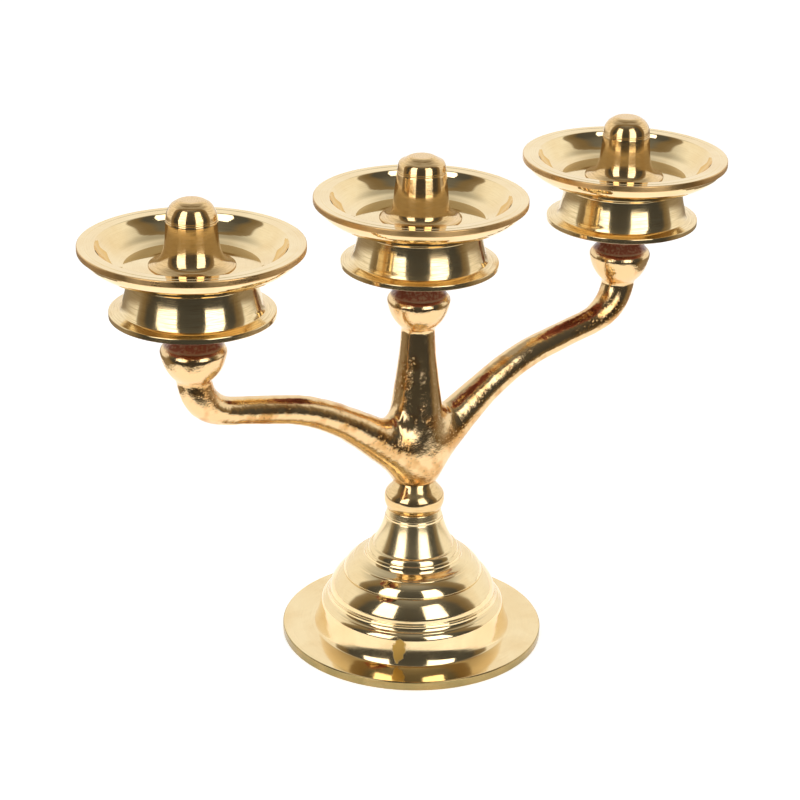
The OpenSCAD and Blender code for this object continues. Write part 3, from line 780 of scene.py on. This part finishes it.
cast_dull = add(cast_tree, "ShaderNodeMapRange", {
    "Value": pit_patches, "From Min": 0.35, "From Max": 0.68, "To Min": 0.06, "To Max": 0.17}).outputs[0]
cast_tree.links.new(cast_dull, cast_shader.inputs["Roughness"])
cast_tint = add(cast_tree, "ShaderNodeMix", {
    "Factor": patchy, 6: linear("#ebca97"), 7: linear("#d2a062")}, data_type="RGBA").outputs[2]
# Painted reflection: within 12 mm of each spigot's axis the top is painted thick and thin in matt brick red,
# standing in for the red primed cup that it faces
from_head = add(cast_tree, "ShaderNodeMath", {
    0: cast_axes["X"], 1: reach * mm / 2}, operation="PINGPONG").outputs[0]
across = add(cast_tree, "ShaderNodeCombineXYZ", {"X": from_head, "Y": cast_axes["Y"]}).outputs[0]
from_spigot = add(cast_tree, "ShaderNodeVectorMath", {0: across}, operation="LENGTH").outputs["Value"]
under_spool = add(cast_tree, "ShaderNodeMapRange", {
    "Value": from_spigot, "From Min": 11.3 * mm, "From Max": 12.3 * mm,
    "To Min": 1.0, "To Max": 0.0}).outputs[0]
speckle = add(cast_tree, "ShaderNodeTexNoise", {
    "Vector": cast_place, "Scale": every(1.25), "Detail": 4.0}).outputs[0]
red_reflection_strength = add(cast_tree, "ShaderNodeMapRange", {
    "Value": speckle, "From Min": 0.34, "From Max": 0.5, "To Min": 0.55, "To Max": 0.92}).outputs[0]
red_reflection_zone = add(cast_tree, "ShaderNodeMath", {0: faced, 1: under_spool}, operation="MULTIPLY").outputs[0]
painted_red_reflection = add(cast_tree, "ShaderNodeMath", {0: red_reflection_zone, 1: red_reflection_strength}, operation="MULTIPLY").outputs[0]
cast_colour = add(cast_tree, "ShaderNodeMix", {
    "Factor": painted_red_reflection, 6: cast_tint, 7: linear("#74301f")}, data_type="RGBA").outputs[2]
cast_tree.links.new(cast_colour, cast_shader.inputs["Base Color"])
# Where the painted red reflection lies, the metal gives way to matt paint
bare = add(cast_tree, "ShaderNodeMath", {0: 1.0, 1: painted_red_reflection}, operation="SUBTRACT").outputs[0]
cast_tree.links.new(bare, cast_shader.inputs["Metallic"])

branch = link_mesh("branch_casting", cast_points, cast_faces.tolist(), cast_brass)
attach(branch, "branch")
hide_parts("branch")

# ---------------------------------------------------------------- head studs
# Three steel rods screwed into the spigots. Each passes through its spool and pan and takes the
# bell nut that clamps them.
head_x = {"left": -reach, "middle": 0.0, "right": reach}
head_hole_r = 3.5
for side in head_x:
    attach(threaded_rod(f"{side}_stud_threaded", f"{side}_stud", 1.0, steel), "branch")

# ---------------------------------------------------------------- spools
# Each is a brass cup cast upside down and turned outside into a waisted drum with a foot flange.
# The tool lines are left on, and the inside and the underside carry red oxide primer.
spool_brass = polished_brass(
    "turned_brass_with_tool_lines", roughness=0.08, line_depth=2.2, line_gap=0.3, stretch=0.6, streaks=0.5)
# Red oxide primer, brushed on thin: matt and brick red, mottled every few millimetres
primer, primer_tree, primer_shader = shaded("red_oxide_primer", {"Roughness": 0.62})
primer_place = add(primer_tree, "ShaderNodeTexCoord", {}).outputs["Object"]
primer_mottle = add(primer_tree, "ShaderNodeTexNoise", {
    "Vector": primer_place, "Scale": every(3.846), "Detail": 5.0}).outputs[0]
primer_tint = add(primer_tree, "ShaderNodeMix", {
    "Factor": primer_mottle, 6: linear("#6b3022"), 7: linear("#8a4230")}, data_type="RGBA").outputs[2]
primer_tree.links.new(primer_tint, primer_shader.inputs["Base Color"])
primer_skin = add(primer_tree, "ShaderNodeBump", {
    "Height": primer_mottle, "Strength": 0.7, "Distance": 3e-5})
primer_tree.links.new(primer_skin.outputs[0], primer_shader.inputs["Normal"])

cup_r = 23.5
for side, centre in head_x.items():
    low, high = (np.array(c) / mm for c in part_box(f"{side}_spool"))
    z, top, flange_r = low[2], high[2], (high[0] - low[0]) / 2
    outline = np.vstack([
        eased([(cup_r, top - 3.5, 0), (cup_r - 0.2, z + 0.5, 0.5), (24.2, z, 0.3), (flange_r, z, 0.25),
               (flange_r, z + 2.2, 0.35), (28.9, z + 3.1, 0)])[1:-1],
        through([(28.9, z + 3.1), (28.3, z + 4.2), (27.45, z + 7.0), (26.75, z + 10.0), (26.3, z + 13.0),
                 (26.15, z + 16.0)], 0.6),
        [(26.2, z + 16.35), (26.5, z + 16.6)],
        eased([(26.6, z + 16.8, 0), (26.8, z + 17.2, 0.2), (26.8, top, 0.3),
               (head_hole_r, top, 0.2), (head_hole_r, top - 2.5, 0.2), (cup_r - 2, top - 2.5, 1.0),
               (cup_r, top - 4.5, 1.0), (cup_r - 0.2, z + 1, 0)])[1:-1],
    ])
    spool = turned(f"{side}_spool_turned", outline, spool_brass, centre, 192)
    middle = face_middles(spool)
    out = np.hypot(middle[:, 0] - centre, middle[:, 1])
    underside = middle[:, 2] < z + 0.16
    inside_cup = (out < cup_r + 0.2) & (out > head_hole_r + 0.1) & (middle[:, 2] < top - 2.4)
    give_faces(spool, primer, underside | inside_cup)
    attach(spool, f"{side}_spool")
    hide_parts(f"{side}_spool")

# ---------------------------------------------------------------- pans
# Each pan is a brass disc dished and turned, with a flat lip, a fine line in the lip and a flat
# floor. It drops over the stud and sits on its spool.
pan_brass = polished_brass("buffed_brass_pan", roughness=0.025, line_depth=0.2, line_gap=0.2, streaks=0.14)
# The rim's edge keeps the lathe's finish, as the buff would round it over; its darker, browner tone is
# painted shade, standing in for the room that it reflects
rim_brass_painted_dark = polished_brass(
    "lathe_finished_rim_painted_dark", tone="#d9b078", roughness=0.24, line_depth=2.0, line_gap=0.25,
    stretch=0.6, streaks=0.5)
for side, centre in head_x.items():
    low, high = (np.array(c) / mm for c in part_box(f"{side}_pan"))
    z, rim_z, rim_r = low[2], high[2], (high[0] - low[0]) / 2
    floor_z = z + 2.2
    outline = np.vstack([
        eased([(head_hole_r, floor_z, 0.2), (head_hole_r, z, 0.2), (27.0, z, 0)])[:-1],
        through([(27.0, z), (31.0, z + 0.4), (35.0, z + 1.5), (38.2, z + 3.0), (40.8, z + 4.8),
                 (42.6, z + 6.7), (43.7, rim_z - 2.85)], 0.8),
        eased([(43.7, rim_z - 2.85, 0), (rim_r, rim_z - 2.7, 0.5), (rim_r, rim_z, 0.55),
               (42.35, rim_z - 0.12, 0)])[1:-1],
        [(42.4, rim_z - 0.12), (42.1, rim_z - 0.42), (41.8, rim_z - 0.14)],
        eased([(41.7, rim_z - 0.14, 0), (38.1, rim_z - 0.35, 0.4), (37.8, rim_z - 1.1, 0)])[1:-1],
        through([(37.7, rim_z - 1.1), (37.05, rim_z - 2.2), (35.85, rim_z - 3.8), (34.5, rim_z - 5.4),
                 (33.15, rim_z - 6.85), (31.5, rim_z - 7.95), (29.3, rim_z - 8.65), (27.2, floor_z)], 0.6),
    ])
    pan = turned(f"{side}_pan_turned", outline, pan_brass, centre, 256)
    middle = face_middles(pan)
    give_faces(pan, rim_brass_painted_dark, np.hypot(middle[:, 0] - centre, middle[:, 1]) > rim_r - 0.35)
    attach(pan, f"{side}_pan")
    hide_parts(f"{side}_pan")

# ---------------------------------------------------------------- bell nuts
# Each is a bell of brass bar, drilled and tapped blind from below, that screws down on its stud
# and clamps the pan. The line round its shoulder sits at a slightly different height on each.
bell_brass = polished_brass(
    "buffed_brass_bell", tone="#ecca94", roughness=0.06, line_depth=2.0, line_gap=0.25,
    stretch=0.5, streaks=0.6)
shoulder_line = {"left": 0.0, "middle": 1.4, "right": 0.3}
waist_fill = {"left": 0.0, "middle": 1.0, "right": 0.3}
# Two outlines of the waist, 18 mm high, which are mixed and stretched to end 1.6 mm below the line
slim_bell = np.array([
    (16.4, 0.75), (14.2, 1.8), (12.5, 3.8), (11.4, 6.6), (10.75, 10), (10.45, 14), (10.35, 18)])
full_bell = np.array([
    (16.4, 0.75), (13.7, 1.4), (12.5, 2.7), (11.9, 5.0), (11.5, 8.5), (11.0, 13), (10.4, 18)])
tapped_r = 3.05
for side, centre in head_x.items():
    low, high = (np.array(c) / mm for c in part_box(f"{side}_bell_nut"))
    z, top, foot_r = low[2], high[2], (high[0] - low[0]) / 2
    line, fill = z + 19.6 + shoulder_line[side], waist_fill[side]
    outline = np.vstack([
        eased([(tapped_r, z, 0.2), (foot_r, z, 0.12), (foot_r, z + 0.45, 0.2), (16.4, z + 0.75, 0)])[1:-1],
        through((slim_bell * (1 - fill) + full_bell * fill) * (1, (line - 1.6 - z) / 18) + (0, z), 0.6),
        [(10.3, line - 1.1), (10.05, line - 0.95), (10.25, line - 0.75), (10.25, line - 0.3),
         (10.0, line - 0.15), (10.2, line + 0.05)],
        through([(10.15, line + 0.2), (9.9, line + 1.8), (9.1, line + 3.6), (7.6, top - 1.55),
                 (6.9, top - 1.1)], 0.4),
        [(6.6, top - 1.05), (6.45, top - 0.85)],
        through([(6.3, top - 0.7), (5.4, top - 0.25), (4.2, top - 0.03), (2.0, top), (0, top)], 0.4),
        [(0, z + 17), (tapped_r, z + 16)],
    ])
    bell = turned(f"{side}_bell_nut_turned", outline, bell_brass, centre, 192)
    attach(bell, f"{side}_bell_nut")
    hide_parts(f"{side}_bell_nut")
